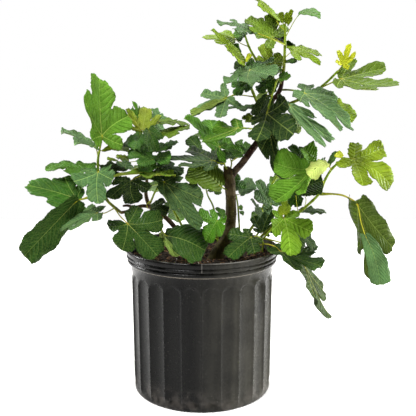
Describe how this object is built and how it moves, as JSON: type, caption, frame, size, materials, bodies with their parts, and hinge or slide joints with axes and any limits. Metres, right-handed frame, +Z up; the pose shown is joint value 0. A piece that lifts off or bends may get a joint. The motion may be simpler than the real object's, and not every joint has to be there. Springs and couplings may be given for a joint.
{
  "type": "potted fig plant",
  "caption": "Young fig tree with lobed leaves on several leafy stems, growing in potting mix in a black fluted plastic nursery pot.",
  "frame": {"origin": "centre of the pot's base, on the surface it stands on", "axes": "+Z up along the pot's axis; the picture's camera stands on the -Y side with +X to its right"},
  "size_m": [0.5925, 0.3336, 0.6476],
  "materials": {
    "pot_plastic": "satin",
    "potting_mix": "loose dark bark and peat mix with some perlite",
    "bark": "rough young bark",
    "leaf": "living leaf, matt above and paler below, with yellow-green stalks and veins"
  },
  "bodies": {
    "root": {"pot": "pot_plastic", "soil": "potting_mix", "trunk": "bark", "left_wood": "bark", "left_shoot": "leaf", "left_middle": "leaf", "left_inner": "leaf", "left_low": "leaf", "centre": "leaf", "trunk_leaf": "leaf", "behind_trunk": "leaf", "cut_left": "leaf", "cut_right": "leaf", "front_leaf": "leaf", "fork": "leaf", "droop": "leaf", "stem_a": "leaf", "stem_b": "leaf", "top": "leaf", "right_mid": "leaf", "right_upper": "leaf", "right_lower": "leaf", "right_base": "leaf", "right_inner": "leaf", "back_left": "leaf", "back_right": "leaf", "front_low": "leaf"}
  },
  "joints": []
}
